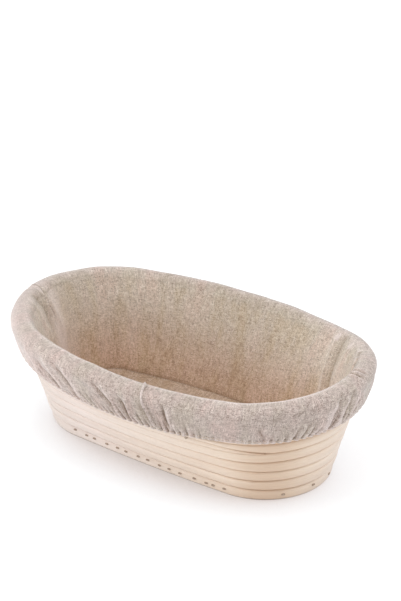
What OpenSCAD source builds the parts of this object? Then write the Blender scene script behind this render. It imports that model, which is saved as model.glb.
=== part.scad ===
// Oval proofing basket: a coiled cane shell with a linen liner that lifts out.
// Millimetres. +Z is up, +X runs along the length, and the origin lies under the middle of the base.

/* [Basket] */
// Outside length of the cane rim
rim_l = 246; // [236:1:256]
// Outside width of the cane rim
rim_w = 155; // [150:1:160]
// Radius of the two ends of the rim
rim_end_r = 70; // [66:1:72]
// Outside length of the base
base_l = 205; // [196:1:212]
// Outside width of the base
base_w = 91; // [89:1:93]
// Radius of the two ends of the base
base_end_r = 44; // [42:0.5:44]
// How much higher the rim is at its ends than along its sides
rim_saddle = 6; // [0:0.5:7]

/* [Cane] */
// Courses of cane that stand on the base
wall_courses = 9; // [8:1:10]
// Height of one course with the joint above it, on average
course_pitch = 7.45; // [7.2:0.05:8]
// Share by which the lowest course is taller than that, and the highest one lower
course_taper = 0.12; // [0:0.01:0.15]
// Thickness of the cane through the wall
cane_t = 7; // [6:0.1:7.2]
// Open joint between two courses
cane_gap = 0.5; // [0.45:0.05:0.6]
// Height of the base
base_h = 7.4; // [7:0.1:8]
// Turns of cane that are wound round the two core canes
base_turns = 5; // [4:1:6]
// Rounding of the cane's edges
cane_edge = 1.6; // [1:0.1:1.8]
// Share of the wall's slope by which each course leans outwards
cane_lean = 0.85; // [0.6:0.05:1]
// Share of the wall's slope by which each joint falls towards the outside
joint_fall = 0.7; // [0:0.05:0.8]

/* [Brads] */
// Length of a brad
brad_l = 12; // [10:0.5:12]
// Radius of a brad's shank
brad_r = 0.55; // [0.45:0.05:0.6]
// Radius of a brad's head
brad_head_r = 0.95; // [0.8:0.05:1.1]
// Width of the flattened head of a brad in the lowest course
flat_head_w = 2.4; // [2:0.1:2.8]

/* [Liner] */
// Thickness of the linen
cloth_t = 0.8; // [0.6:0.05:0.8]
// Room between the cane and the linen
cloth_gap = 0.9; // [0.8:0.05:1]
// Height of the hem that holds the elastic
hem_h = 5; // [4.5:0.1:5.5]
// Course at which the lower edge of the hem lies
hem_course = 5; // [4.8:0.05:5.2]
// Courses by which it lies higher at the ends, and lower along the sides
hem_swing = 0.45; // [0.3:0.05:0.55]
// Depth of the gathers above the hem
gather_depth = 1.1; // [0.6:0.1:1.4]
// Depth of the loose pleats inside the two ends
pleat_depth = 1.8; // [0:0.1:2.5]
// Width of the elastic
elastic_w = 3.2; // [2.5:0.1:3.4]
// Thickness of the elastic
elastic_t = 0.8; // [0.5:0.1:0.8]
// Radius of the sewing thread
thread_r = 0.35; // [0.25:0.05:0.35]

/* [Hidden] */

cane_colour = "#EBD9BD";
brad_colour = "#5A5148";
linen_colour = "#C9BBAA";
thread_colour = "#DDD2C2";
elastic_colour = "#F2EFEA";

// Rings of points in one turn: each quarter has some round the end and some along the side.
end_rings = 5;
side_rings = 2;
quarter_rings = end_rings + side_rings;
turn_rings = 4 * quarter_rings;
end_share = end_rings / quarter_rings;
// The coil climbs from one course to the next over these rings, at the back of the left end.
step_rings = 3;
step_share = step_rings / turn_rings;
coil_start = 0.5;
// First ring of each slanting splice between two lengths of cane, and its rings.
splice_at = [71, 119, 184];
splice_rings = 4;
lengths = len(splice_at) + 1;
// How many rings of a wedge are cut off blunt, at the ends of the coil, at the rim and at a splice.
coil_tip = 1;
rim_tip = 2;
splice_tip = 0.55;

// An oval is [half length, half width, end radius]: four arcs that meet without a corner.
base_oval = [base_l / 2, base_w / 2, base_end_r];
rim_oval = [rim_l / 2, rim_w / 2, rim_end_r];
base_pitch = base_w / 2 / (base_turns + 1);
wall_h = wall_courses * course_pitch;
all_levels = wall_courses + 0.5;
saddle = rim_saddle / 2 / wall_h;

// Offsets of the linen from the outer face of the wall, inwards and outwards.
inside_near = -(cane_t + cloth_gap);
inside_far = inside_near - cloth_t;
outside_near = cloth_gap;
outside_far = cloth_gap + cloth_t;
crest = 1.9;
skirt_top = wall_courses - 1.2;
piece_gap = 0.25;
floor_z = base_h + piece_gap;

// Rings round the liner: the wall has one for a pleat between two others, the skirt two for a gather.
wall_rings = 2 * turn_rings;
skirt_rings = 3 * turn_rings;
// Rings of the wall that stand off the cane in a pleat.
pleats = [3, 5, 23, 25];
// Where the band of the liner is sewn into a loop, in rings of the wall.
closing_seam = 43.35;

function smooth(x) = x <= 0 ? 0 : x >= 1 ? 1 : x * x * (3 - 2 * x);

// Radius of the long side arcs of an oval, and the direction in which they meet the end arcs.
function side_r(o) = (pow(o[0] - o[2], 2) + o[1] * o[1] - o[2] * o[2]) / (2 * (o[1] - o[2]));
function meet_angle(o) = atan2(side_r(o) - o[1], o[0] - o[2]);

// Outward direction at a place on an oval, counted in turns from the +X end.
function quarter_angle(f, meet) =
    f <= end_share ? meet * f / end_share : meet + (90 - meet) * (f - end_share) / (1 - end_share);
function turn_angle(o, s) =
    let (q = floor(4 * s), f = 4 * s - q, meet = meet_angle(o))
    90 * q + (q % 2 == 0 ? quarter_angle(f, meet) : 90 - quarter_angle(1 - f, meet));

// The point on an oval in an outward direction.
function oval_point(o, a) =
    let (r = side_r(o))
    abs(cos(a)) > cos(meet_angle(o))
        ? [sign(cos(a)) * (o[0] - o[2]) + o[2] * cos(a), o[2] * sin(a)]
        : [r * cos(a), r * sin(a) - sign(sin(a)) * (r - o[1])];

// A point beside an oval, moved outwards by d, at height z.
function beside(o, s, d, z) =
    let (a = turn_angle(o, s), p = oval_point(o, a))
    [p[0] + d * cos(a), p[1] + d * sin(a), z];

// The wall's outer face, by level: 0 is the top of the base, and each course adds 1.
function wall_oval(level) = base_oval + (rim_oval - base_oval) * (level + 0.5) / all_levels;
function wall_z(level, s) =
    let (rise = level * course_pitch * (1 + course_taper * (1 - level / wall_courses)))
    base_h + rise * (1 + saddle * cos(720 * s));
function wall_point(level, s, d, dz = 0) = beside(wall_oval(level), s, d, wall_z(level, s) + dz);
function wall_slope(s) =
    let (a = turn_angle(rim_oval, s), grow = rim_oval - base_oval)
    (grow[0] * pow(cos(a), 2) + grow[1] * pow(sin(a), 2)) / (all_levels * course_pitch);

// Lower and upper edge of a coil at a turn, in courses: level, then a short climb, with wedges at both ends.
function coil_level(t) = floor(t) + smooth((t - floor(t) - 1 + step_share) / step_share);
function coil_low(t) = t < 0 ? 0 : coil_level(t);
function coil_high(t, turns) =
    t < 0 ? smooth((t + step_share) / step_share)
    : t > turns - step_share ? turns : coil_level(t) + 1;

// First and last ring of a length of wall cane, and all its rings.
function first_ring(j) = j == 0 ? coil_tip - step_rings : splice_at[j - 1] + splice_tip;
function last_ring(j) =
    j == lengths - 1 ? wall_courses * turn_rings - rim_tip : splice_at[j] + splice_rings - splice_tip;
function cane_rings(first, last) = [first, each [ceil(first) : floor(last)], last];

// Lower and upper level of a length of cane at a ring: at a splice the next length starts as a wedge on top.
function splice_level(i, start, low, high) = high - (high - low) * (i - start) / splice_rings;
function cane_levels(i, j) =
    let (
        t = i / turn_rings,
        low = coil_low(t),
        high = coil_high(t, wall_courses),
        starting = j > 0 && i < splice_at[j - 1] + splice_rings,
        ending = j < lengths - 1 && i > splice_at[j]
    )
    [
        starting ? splice_level(i, splice_at[j - 1], low, high) : low,
        ending ? splice_level(i, splice_at[j], low, high) : high
    ];

// How far a joint falls from the middle of the wall to a point in it: not on the base, and fully from level 2.
function fall(level, s, d) = joint_fall * wall_slope(s) * smooth(level / 2) * (d + cane_t / 2);

// The wall's cane: square inside, with its two outer edges rounded off.
function wall_ring(i, j) =
    let (
        t = i / turn_rings,
        s = coil_start + t,
        levels = cane_levels(i, j),
        middle = min(coil_low(t), wall_courses - 1) + 0.5,
        low = wall_z(levels[0], s) + cane_gap / 2,
        high = wall_z(levels[1], s) - cane_gap / 2,
        edge = min(cane_edge, (high - low) / 3),
        lean = cane_lean * wall_slope(s),
        at = function(d, z, joint)
            let (dropped = z - fall(joint, s, d))
            beside(wall_oval(middle), s, d + lean * (dropped - wall_z(middle, s)), dropped)
    )
    [
        at(0, low + edge, levels[0]),
        at(0, high - edge, levels[1]),
        at(-edge, high, levels[1]),
        at(-cane_t, high, levels[1]),
        at(-cane_t, low, levels[0]),
        at(-edge, low, levels[0])
    ];

// The base's cane: its two lower edges are rounded off.
function base_ring(i) =
    let (
        t = i / turn_rings,
        s = coil_start + t,
        inner = (coil_low(t) - base_turns) * base_pitch + cane_gap / 2,
        outer = (coil_high(t, base_turns) - base_turns) * base_pitch - cane_gap / 2,
        edge = min(cane_edge, (outer - inner) / 3),
        at = function(d, z) beside(base_oval, s, d, z)
    )
    [
        at(outer, edge),
        at(outer, base_h - cane_gap / 2),
        at(inner, base_h - cane_gap / 2),
        at(inner, edge),
        at(inner + edge, 0),
        at(outer - edge, 0)
    ];

// Least gap between one turn of a coil and the next, measured on the points of its rings.
function ring_gap(a, b) = min([for (p = a, q = b) norm(p - q)]);
function turn_gap(i) =
    let (
        s = coil_start + i / turn_rings,
        joint = coil_low(i / turn_rings + 1),
        upper = wall_z(joint, s) + cane_gap / 2,
        lower = wall_z(coil_high(i / turn_rings, wall_courses), s) - cane_gap / 2,
        tilt = atan(fall(joint, s, 1 - cane_t / 2))
    )
    (upper - lower) * cos(tilt);
wall_gap = min([for (i = [0 : (wall_courses - 1) * turn_rings]) turn_gap(i)]);
base_gap = min([
    for (i = [0 : (base_turns - 1) * turn_rings - 1]) ring_gap(base_ring(i), base_ring(i + turn_rings))
]);
echo(least_gap_in_wall_coil = wall_gap, least_gap_in_base_coil = base_gap);

// Triangles between rings of points, for an open tube or for one that closes on itself.
function band(a, b, m) =
    [for (k = [0 : m - 1]) let (n = (k + 1) % m) each [[a + k, b + k, b + n], [a + k, b + n, a + n]]];

module open_tube(rings) {
    m = len(rings[0]);
    last = (len(rings) - 1) * m;
    polyhedron(
        points = [for (r = rings) each r],
        faces = [
            for (k = [1 : m - 2]) [0, k, k + 1],
            for (i = [0 : len(rings) - 2]) each band(i * m, (i + 1) * m, m),
            for (k = [1 : m - 2]) [last, last + k + 1, last + k]
        ],
        convexity = 10
    );
}

module closed_tube(rings) {
    n = len(rings);
    m = len(rings[0]);
    polyhedron(
        points = [for (r = rings) each r],
        faces = [for (i = [0 : n - 1]) each band(i * m, (i + 1) % n * m, m)],
        convexity = 10
    );
}

// A straight pin from one point to another, with an optional head at its start.
module pin(from, to, head = false) {
    d = to - from;
    translate(from)
        rotate([0, acos(d[2] / norm(d)), atan2(d[1], d[0])]) {
            cylinder(r = brad_r, h = norm(d), $fn = 24);
            if (head) cylinder(r = brad_head_r, h = brad_r, $fn = 24);
        }
}

// Two straight canes, side by side, that the base is wound round; their ends are cut to fit its first turn.
module base_core_canes() {
    edge = -base_turns * base_pitch - cane_gap / 2;
    color(cane_colour)
        for (side = [-1, 1])
            linear_extrude(base_h - cane_gap / 2)
                intersection() {
                    polygon([
                        for (i = [0 : turn_rings - 1])
                            let (p = beside(base_oval, i / turn_rings, edge, 0)) [p[0], p[1]]
                    ]);
                    translate([0, side * (base_pitch + cane_gap / 2)])
                        square([base_l, 2 * base_pitch], center = true);
                }
}

// The flat coil of the base: its last turn is the lowest course that shows.
module base_coil() {
    color(cane_colour)
        open_tube([
            for (i = cane_rings(coil_tip - step_rings, base_turns * turn_rings - coil_tip)) base_ring(i)
        ]);
}

// One of the lengths of cane that are spliced into the coil of the wall.
module wall_cane(j) {
    color(cane_colour)
        open_tube([for (i = cane_rings(first_ring(j), last_ring(j))) wall_ring(i, j)]);
}

// Brads that hold each inner turn of the base to the one inside it.
module base_brads() {
    height = base_h * 0.3;
    color(brad_colour)
        for (turn = [1 : base_turns - 1], i = [turn % 3 : 3 : turn_rings - 1]) {
            s = coil_start + (i + 0.5) / turn_rings;
            d = (turn - base_turns) * base_pitch - cane_gap;
            pin(beside(base_oval, s, d, height), beside(base_oval, s, d - brad_l, height));
        }
}

// Brads through the lowest course, driven by eye, so their spacing and height wander: [place along X, height].
side_brads = [
    [-58.8, 5.1], [-49, 4.5], [-42.4, 4.5], [-31.9, 4.3], [-23, 4.5], [-16.2, 4.3], [-6.2, 4.3], [1.3, 4.3],
    [10.6, 3.7], [18.1, 3.6], [26.4, 3.4], [37.3, 3.5], [46.2, 3.3], [51.3, 3.4], [59.4, 3.6]
];
// Those round each end: [direction from the end, height].
end_brads = [[-39.5, 3.7], [-11, 4.5], [13, 3.4], [41, 4]];

module edge_brads() {
    color(brad_colour) {
        for (side = [-1, 1], b = side_brads)
            edge_brad(side * 90 - side * asin(b[0] / side_r(base_oval)), b[1]);
        for (end = [0, 180], b = end_brads)
            edge_brad(end + b[0], b[1]);
    }
}

// One of them: a shank, and a head that the hammer has flattened along the cane.
module edge_brad(a, height) {
    p = oval_point(base_oval, a);
    reach = flat_head_w / 2 - brad_r;
    translate([p[0], p[1], height])
        rotate([0, -90, a]) {
            cylinder(r = brad_r, h = brad_l, $fn = 24);
            translate([-brad_r, -reach, 0])
                cube([2 * brad_r, 2 * reach, brad_r]);
            for (end = [-1, 1])
                translate([0, end * reach, 0])
                    cylinder(r = brad_r, h = brad_r, $fn = 24);
        }
}

// Brads that hold one length of wall cane down to the course below it.
module wall_brads(j) {
    sunk = 0.2;
    reach = 1.45;
    clear = splice_rings + 1;
    color(brad_colour)
        for (i = [ceil(first_ring(j)) + clear : floor(last_ring(j)) - clear])
            if ((i + floor(i / turn_rings)) % 3 == 2) {
                s = coil_start + i / turn_rings;
                top = coil_high(i / turn_rings, wall_courses) - sunk;
                pin(wall_point(top, s, -cane_t / 2), wall_point(top - reach, s, -cane_t / 2));
            }
}

// A brad through each splice, from the outside.
module splice_brads() {
    proud = 0.1;
    length = 0.75 * cane_t;
    along = 1.3;
    below = 0.2;
    color(brad_colour)
        for (start = splice_at) {
            t = (start + along) / turn_rings;
            low = coil_low(t);
            level = splice_level(start + along, start, low, low + 1) - below;
            pin(
                wall_point(level, coil_start + t, proud),
                wall_point(level, coil_start + t, proud - length), head = true
            );
        }
}

// The oval panel that lies on the base.
module liner_floor() {
    level = piece_gap / course_pitch;
    edge = inside_far - piece_gap;
    color(linen_colour)
        translate([0, 0, floor_z])
            linear_extrude(cloth_t)
                polygon([
                    for (i = [0 : turn_rings - 1])
                        let (p = wall_point(level, i / turn_rings, edge)) [p[0], p[1]]
                ]);
}

// A point of the liner's wall: rings between those of the cane lie on the chord, or further in at a pleat.
function liner_point(i, level, d, dz, fold) =
    let (
        at = function(k) wall_point(level, (k + wall_rings) / wall_rings, d, dz),
        a = turn_angle(wall_oval(level), (i + wall_rings) / wall_rings),
        depth = len(search(i, pleats)) > 0 ? pleat_depth * fold : 0
    )
    i % 2 == 0 ? at(i) : (at(i - 1) + at(i + 1)) / 2 - depth * [cos(a), sin(a), 0];

// The upright linen inside the basket, with the roll over the rim.
module liner_wall() {
    foot = 2 * piece_gap / course_pitch;
    half = wall_courses / 2;
    top = wall_courses;
    color(linen_colour)
        closed_tube([
            for (i = [0 : wall_rings - 1])
                [
                    liner_point(i, foot, inside_near, 0, 0),
                    liner_point(i, foot, inside_far, 0, 0),
                    liner_point(i, half, inside_far, 0, 1),
                    liner_point(i, top, inside_far, crest - 1, 0.5),
                    liner_point(i, top, inside_far + 1.3, crest + cloth_t, 0),
                    liner_point(i, top, inside_far + 3.7, crest + 0.8 * cloth_t, 0),
                    liner_point(i, top, outside_far - 2.4, crest - 1.5, 0),
                    liner_point(i, top, outside_far - 0.6, -3, 0),
                    liner_point(i, skirt_top, outside_far, 0, 0),
                    liner_point(i, skirt_top, outside_near, 0, 0),
                    liner_point(i, top, outside_near - 0.5, -3.3, 0),
                    liner_point(i, top, outside_near - 2.2, crest - 2.2, 0),
                    liner_point(i, top, inside_near + 3.1, crest - 0.2, 0),
                    liner_point(i, top, inside_near + 1.1, crest, 0),
                    liner_point(i, top, inside_near, crest - 0.8, 0.5),
                    liner_point(i, half, inside_near, 0, 1)
                ]
        ]);
}

// Height of the hem's lower edge, as a level: it rides a little higher round the ends.
function hem_level(s) = hem_course + hem_swing * cos(720 * s);
// How far the skirt stands off the cane at a ring: it gathers towards the hem, most of all at the ends.
function gather(i, share) =
    gather_depth * share * (0.6 + 0.4 * cos(720 * i / skirt_rings)) * (1 + (i % 2 == 0 ? 1 : -1));

// The linen outside the rim, gathered into folds above the hem.
module liner_skirt() {
    top = skirt_top - piece_gap / course_pitch;
    shares = [0, 0.5, 1];
    color(linen_colour)
        closed_tube([
            for (i = [0 : skirt_rings - 1])
                let (
                    s = i / skirt_rings,
                    low = hem_level(s) + (hem_h + 2 * piece_gap) / course_pitch,
                    at = function(share, d)
                        wall_point(top + (low - top) * share, s, d + gather(i, share))
                )
                [
                    for (k = [0 : 2]) at(shares[k], outside_near),
                    for (k = [2 : -1 : 0]) at(shares[k], outside_far)
                ]
        ]);
}

// A point of the hem, by its distance off the cane and its height above the hem's lower edge.
function hem_point(s, d, z) = wall_point(hem_level(s), s, d + wall_slope(s) * z, z);

// The turned hem: a channel, open upwards, that the elastic lies in.
module hem_casing() {
    room = elastic_t + 2 * piece_gap;
    far = outside_near + 2 * cloth_t + room;
    color(linen_colour)
        closed_tube([
            for (i = [0 : turn_rings - 1])
                let (s = i / turn_rings)
                [
                    hem_point(s, outside_near, 0),
                    hem_point(s, outside_near, hem_h),
                    hem_point(s, outside_far, hem_h),
                    hem_point(s, outside_far, cloth_t),
                    hem_point(s, far - cloth_t, cloth_t),
                    hem_point(s, far - cloth_t, hem_h),
                    hem_point(s, far, hem_h),
                    hem_point(s, far, 0)
                ]
        ]);
}

// The elastic that draws the hem in under the rim.
module hem_elastic() {
    near = outside_far + piece_gap;
    low = cloth_t + piece_gap;
    color(elastic_colour)
        closed_tube([
            for (i = [0 : turn_rings - 1])
                let (s = i / turn_rings)
                [
                    hem_point(s, near, low),
                    hem_point(s, near, low + elastic_w),
                    hem_point(s, near + elastic_t, low + elastic_w),
                    hem_point(s, near + elastic_t, low)
                ]
        ]);
}

// Four points round a thread that lies beside the wall.
function thread_ring(level, s, d, dz) =
    [for (k = [0 : 3]) wall_point(level, s, d - thread_r * cos(90 * k), dz + thread_r * sin(90 * k))];

// The row of sewing that joins the floor panel to the band.
module floor_seam_thread() {
    off = inside_far - piece_gap - thread_r;
    rise = 2 * piece_gap + cloth_t + thread_r;
    color(thread_colour)
        closed_tube([for (i = [0 : turn_rings - 1]) thread_ring(0, i / turn_rings, off, rise)]);
}

// The row of sewing that holds the hem shut.
module hem_thread() {
    off = outside_near + 2 * cloth_t + elastic_t + 3 * piece_gap + thread_r;
    color(thread_colour)
        closed_tube([
            for (i = [0 : turn_rings - 1])
                let (s = i / turn_rings)
                thread_ring(hem_level(s), s, off + wall_slope(s) * hem_h, hem_h - 2 * thread_r)
        ]);
}

// The row of sewing that closes the band into a loop, inside the front wall.
module closing_seam_thread() {
    bottom = 0.6;
    top = wall_courses - 1.1;
    steps = 4;
    off = inside_far - piece_gap - thread_r;
    color(thread_colour)
        open_tube([
            for (i = [0 : steps])
                let (
                    level = bottom + (top - bottom) * i / steps,
                    ring = floor(closing_seam),
                    part = closing_seam - ring,
                    a = turn_angle(wall_oval(level), closing_seam / wall_rings),
                    middle = (1 - part) * liner_point(ring, level, off, 0, 0)
                        + part * liner_point(ring + 1, level, off, 0, 0)
                )
                [
                    for (k = [0 : 3])
                        middle + thread_r * [cos(a + 90 * k), sin(a + 90 * k), 0]
                ]
        ]);
}

base_core_canes();
base_coil();
wall_cane(0);  // wall_cane_1
wall_cane(1);  // wall_cane_2
wall_cane(2);  // wall_cane_3
wall_cane(3);  // wall_cane_4
base_brads();
edge_brads();
wall_brads(0);  // wall_brads_1
wall_brads(1);  // wall_brads_2
wall_brads(2);  // wall_brads_3
wall_brads(3);  // wall_brads_4
splice_brads();
liner_floor();
liner_wall();
liner_skirt();
hem_casing();
hem_elastic();
floor_seam_thread();
closing_seam_thread();
hem_thread();
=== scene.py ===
import math

import bpy
import numpy as np
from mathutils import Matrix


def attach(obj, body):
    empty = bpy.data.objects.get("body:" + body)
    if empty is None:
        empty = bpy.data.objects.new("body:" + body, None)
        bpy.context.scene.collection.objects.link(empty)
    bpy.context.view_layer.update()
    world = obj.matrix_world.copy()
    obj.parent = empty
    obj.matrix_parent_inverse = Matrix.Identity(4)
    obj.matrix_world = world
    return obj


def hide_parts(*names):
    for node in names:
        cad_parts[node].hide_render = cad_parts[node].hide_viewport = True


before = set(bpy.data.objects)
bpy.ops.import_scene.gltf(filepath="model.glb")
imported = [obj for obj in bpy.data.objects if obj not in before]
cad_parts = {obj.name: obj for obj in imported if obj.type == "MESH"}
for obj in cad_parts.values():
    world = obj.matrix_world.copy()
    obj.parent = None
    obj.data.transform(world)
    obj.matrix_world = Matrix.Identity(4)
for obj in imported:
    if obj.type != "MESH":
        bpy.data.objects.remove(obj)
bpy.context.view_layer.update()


# The base: two straight core canes with one cane wound round them in a flat oval spiral.
# It is the peeled core of rattan, planed nearly square, soaked, wound and pinned turn by turn.
# The last turn is the lowest course that shows from outside. All sizes here are in millimetres.
BASE_OVAL = (102.5, 45.5, 44.0)
BASE_HEIGHT = 7.4
BASE_TURNS = 5
BASE_PITCH = BASE_OVAL[1] / (BASE_TURNS + 1)
END_SHARE = 5 / 7
STEP_SHARE = 3 / 28
COIL_START = 0.5
TIGHT_JOINT = 0.35
CANE_POINTS = 32
POINTS_PER_TURN = 336


def side_radius(oval):
    """Radius of the oval's long sides; an oval is its half length, half width and end radius."""
    length, width, end = oval
    return ((length - end) ** 2 + width ** 2 - end ** 2) / (2 * (width - end))


def outward_angle(oval, turn):
    """Direction of the outward normal at a place on the oval, counted in turns from the +X end."""
    meet = np.arctan2(side_radius(oval) - oval[1], oval[0] - oval[2])
    quarter = np.floor(4 * turn)
    part = 4 * turn - quarter
    part = np.where(quarter % 2 == 0, part, 1 - part)
    rise = np.where(
        part <= END_SHARE,
        meet * part / END_SHARE,
        meet + (math.pi / 2 - meet) * (part - END_SHARE) / (1 - END_SHARE),
    )
    return math.pi / 2 * quarter + np.where(quarter % 2 == 0, rise, math.pi / 2 - rise)


def beside_oval(oval, turn, off):
    """X and Y of points beside the oval, moved outwards by off."""
    length, width, end = oval
    angle = outward_angle(oval, turn)
    side = side_radius(oval)
    c, s = np.cos(angle), np.sin(angle)
    round_end = np.abs(c) > (length - end) / np.hypot(side - width, length - end)
    x = np.where(round_end, np.sign(c) * (length - end) + end * c, side * c)
    y = np.where(round_end, end * s, side * s - np.sign(s) * (side - width))
    return x + off * c, y + off * s


def ease(x):
    """0 below 0 and 1 above 1, with a smooth change between them."""
    x = np.clip(x, 0, 1)
    return x * x * (3 - 2 * x)


def coil_level(t):
    """Number of the turn that a coil has reached: it stays level and steps up at the end of each turn."""
    return np.floor(t) + ease((t - np.floor(t) - 1 + STEP_SHARE) / STEP_SHARE)


def coil_low(t):
    """Level of a coil's lower or inner face; it starts as a point."""
    return np.where(t < 0, 0, coil_level(t))


def coil_high(t, turns):
    """Level of its upper or outer face."""
    high = np.where(t > turns - STEP_SHARE, turns, coil_level(t) + 1)
    return np.where(t < 0, ease((t + STEP_SHARE) / STEP_SHARE), high)


def square_cane(squareness=3.8):
    """A cane's section in a unit square: flat faces with a slight crown and rounded corners."""
    a = np.linspace(0, 2 * math.pi, CANE_POINTS, endpoint=False) + math.pi / CANE_POINTS
    power = 2 / squareness
    return (
        np.sign(np.cos(a)) * np.abs(np.cos(a)) ** power,
        np.sign(np.sin(a)) * np.abs(np.sin(a)) ** power,
    )


def add_piece(name, points, faces, **layers):
    """A smooth mesh from points in millimetres, with layers of values on them for its material."""
    mesh = bpy.data.meshes.new(name)
    mesh.from_pydata((np.asarray(points) / 1000).tolist(), [], faces)
    mesh.polygons.foreach_set("use_smooth", [True] * len(mesh.polygons))
    for layer_name, values in layers.items():
        kind, slot = ("FLOAT_VECTOR", "vector") if np.ndim(values) == 2 else ("FLOAT", "value")
        layer = mesh.attributes.new(layer_name, kind, "POINT")
        layer.data.foreach_set(slot, np.asarray(values, np.float32).ravel())
    mesh.update()
    piece = bpy.data.objects.new(name, mesh)
    bpy.context.scene.collection.objects.link(piece)
    return piece


def tube_faces(rings, sides, closed=False, first=0):
    """Faces between rings of points, with both ends capped where the tube is open."""
    faces = []
    for i in range(rings if closed else rings - 1):
        a, b = first + i * sides, first + (i + 1) % rings * sides
        faces += [(a + k, b + k, b + (k + 1) % sides, a + (k + 1) % sides) for k in range(sides)]
    if not closed:
        last = first + (rings - 1) * sides
        faces.append(tuple(first + k for k in range(sides)))
        faces.append(tuple(last + k for k in reversed(range(sides))))
    return faces


def cane_piece(name, x, y, z, course):
    """A cane from rings of points: its grain runs along it in metres, and it knows its course."""
    rings, sides = x.shape
    points = np.stack([x, y, z], -1)
    middle = points.mean(1)
    along = np.concatenate([[0], np.cumsum(np.linalg.norm(np.diff(middle, axis=0), axis=1))])
    steps = np.linalg.norm(np.roll(points, -1, 1) - points, axis=2)
    around = np.cumsum(steps, 1) - steps
    grain = np.stack([
        np.repeat(along[:, None], sides, 1) / 1000,
        around / 1000,
        np.broadcast_to(np.asarray(course, float)[:, None], (rings, sides)),
    ], -1)
    return add_piece(name, points.reshape(-1, 3), tube_faces(rings, sides), grain=grain.reshape(-1, 3))


def base_coil():
    """The spiral, a little narrower in its last turn, where the brads' heads stand out."""
    room_for_heads = 0.3
    least_width = 0.3
    t = np.arange(-STEP_SHARE + 0.004, BASE_TURNS - 0.004, 1 / POINTS_PER_TURN)
    across, up = square_cane()
    inner = (coil_low(t) - BASE_TURNS) * BASE_PITCH + TIGHT_JOINT / 2
    outer = (coil_high(t, BASE_TURNS) - BASE_TURNS) * BASE_PITCH - TIGHT_JOINT / 2
    outer = np.where(t > BASE_TURNS - 1 - STEP_SHARE, outer - room_for_heads, outer)
    outer = np.maximum(outer, inner + least_width)
    wander = 0.12 * np.sin(2 * math.pi * 3.1 * t) + 0.1 * np.sin(2 * math.pi * 7.3 * t + 1)
    off = (inner + outer)[:, None] / 2 + (outer - inner)[:, None] / 2 * across
    x, y = beside_oval(BASE_OVAL, COIL_START + t[:, None], off)
    top = BASE_HEIGHT - TIGHT_JOINT + np.minimum(wander, 0)
    return cane_piece("base_coil_cane", x, y, top[:, None] / 2 * (1 + up), t)


def core_cane(name, side):
    """One of the two canes in the middle, cut to fit the first turn round them."""
    x, far = beside_oval(BASE_OVAL, np.linspace(0, 0.5, 141), -BASE_TURNS * BASE_PITCH - TIGHT_JOINT)
    near, least_width = TIGHT_JOINT / 2, 0.3
    far = np.maximum(far, near + least_width)
    across, up = square_cane()
    y = side * (near + far)[:, None] / 2 + (far - near)[:, None] / 2 * across
    z = (BASE_HEIGHT - TIGHT_JOINT) / 2 * (1 + up)
    x, z = np.broadcast_to(x[:, None], y.shape), np.broadcast_to(z, y.shape)
    return cane_piece(name, x, y, z, np.full(len(x), 20.0 + side))


def srgb(hex_colour):
    """A colour written as sRGB hex, as the linear values that a shader takes."""
    parts = [int(hex_colour[i:i + 2], 16) / 255 for i in (1, 3, 5)]
    return (*[p / 12.92 if p <= 0.04045 else ((p + 0.055) / 1.055) ** 2.4 for p in parts], 1.0)


def node(tree, kind, links=None, **settings):
    """Adds a node; settings are its properties or its sockets' values, and links feed its sockets."""
    made = tree.nodes.new(kind)
    for name, value in settings.items():
        if name in made.bl_rna.properties:
            setattr(made, name, value)
        else:
            made.inputs[int(name[1:]) if name[1:].isdigit() else name].default_value = value
    for socket, source in (links or {}).items():
        tree.links.new(source, made.inputs[socket])
    return made


def new_material(name):
    """An empty material and its tree of nodes."""
    material = bpy.data.materials.new(name)
    material.use_nodes = True
    material.node_tree.nodes.clear()
    return material, material.node_tree


def ramp(tree, factor, stops):
    """Colours between places on a scale from 0 to 1."""
    made = node(tree, "ShaderNodeValToRGB", {"Fac": factor})
    first, last = made.color_ramp.elements
    first.position, first.color = stops[0]
    last.position, last.color = stops[-1]
    for place, colour in stops[1:-1]:
        made.color_ramp.elements.new(place).color = colour
    return made.outputs["Color"]


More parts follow.
